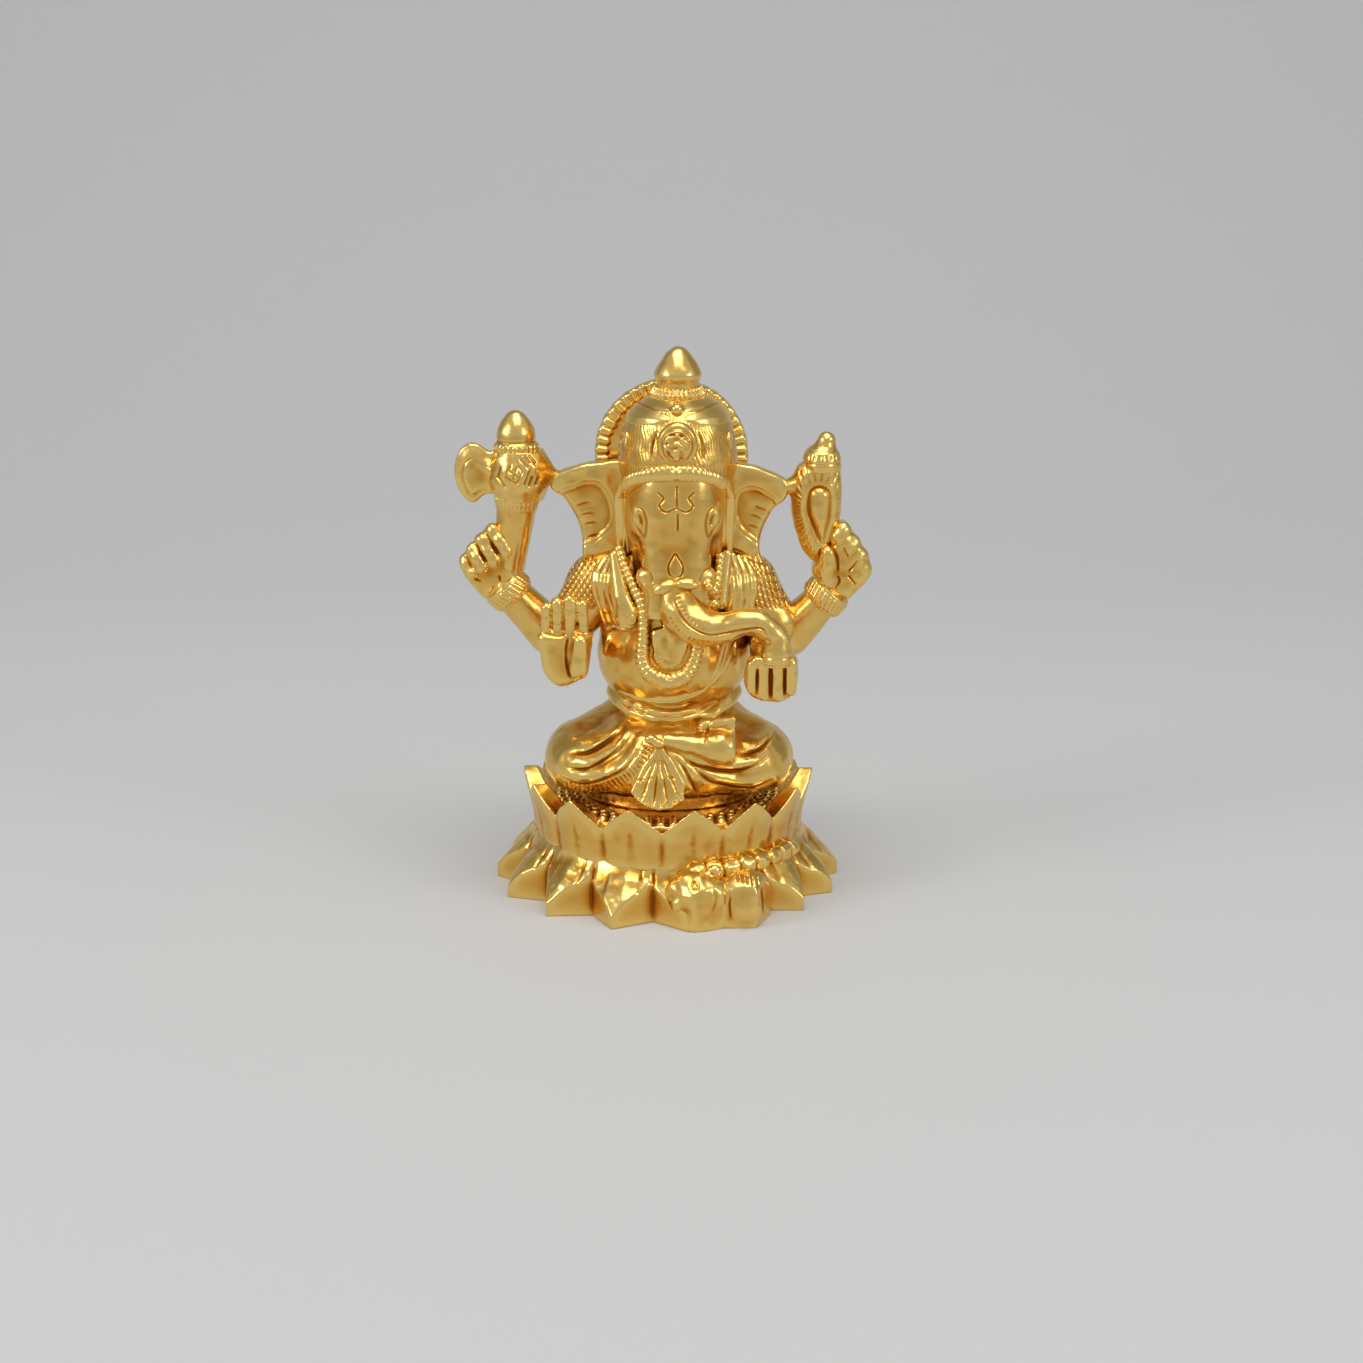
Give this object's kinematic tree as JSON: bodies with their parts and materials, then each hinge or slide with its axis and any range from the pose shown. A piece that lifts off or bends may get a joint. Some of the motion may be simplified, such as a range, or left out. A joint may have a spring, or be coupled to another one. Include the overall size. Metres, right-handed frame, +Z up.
{
  "type": "elephant-headed deity figurine",
  "caption": "Gold-plated elephant-headed deity seated cross-legged with axe and noose, on a double lotus pedestal with a mouse.",
  "frame": {"origin": "on the table, under the centre of the lotus pedestal's flat underside", "axes": "+Z up, the figure faces -Y, +X to the viewer's right when looking at its face"},
  "size_m": [0.0506, 0.0416, 0.0667],
  "materials": {
    "polished_gold": "polished gold plating, darker in the recesses",
    "chased_gold": "gold plating over finely chased petals"
  },
  "bodies": {
    "lotus": {"lotus_skirt": "chased_gold", "lotus_bowl": "chased_gold", "lotus_seat": "chased_gold", "mouse_body": "polished_gold", "mouse_head": "polished_gold", "mouse_ear": "polished_gold", "mouse_tail": "polished_gold"},
    "figure": {"seat_tenon": "polished_gold", "seat_plinth": "polished_gold", "crossed_legs": "polished_gold", "torso": "polished_gold", "head": "polished_gold", "crown": "polished_gold", "crown_eaves": "polished_gold", "crown_ring": "polished_gold", "finial": "polished_gold", "halo": "polished_gold", "ear_right": "polished_gold", "ear_left": "polished_gold", "crown_brim": "polished_gold", "crown_jewel": "polished_gold", "elephant_trunk": "polished_gold", "tusk_right": "polished_gold", "tusk_left": "polished_gold", "waist_sash": "polished_gold", "dhoti_pleats": "polished_gold", "resting_foot": "polished_gold", "upper_arm_right": "polished_gold", "upper_arm_left": "polished_gold", "back_forearm_right": "polished_gold", "back_forearm_left": "polished_gold", "back_fist_right": "polished_gold", "back_fist_left": "polished_gold", "bracelet_right": "polished_gold", "bracelet_left": "polished_gold", "axe_shaft": "polished_gold", "axe_knob": "polished_gold", "axe_finial": "polished_gold", "axe_blade": "polished_gold", "noose": "polished_gold", "noose_tip": "polished_gold", "front_hand_right": "polished_gold", "front_hand_left": "polished_gold", "front_forearm_right": "polished_gold", "front_forearm_left": "polished_gold", "garland": "polished_gold", "body_sash": "polished_gold", "pendant": "polished_gold", "side_tassel_right": "polished_gold", "side_tassel_left": "polished_gold"}
  },
  "joints": [
    {"name": "figure_lift", "type": "slide", "parent": "lotus", "child": "figure", "axis": [0, 0, 1], "range_m": [0, 0.012]}
  ]
}
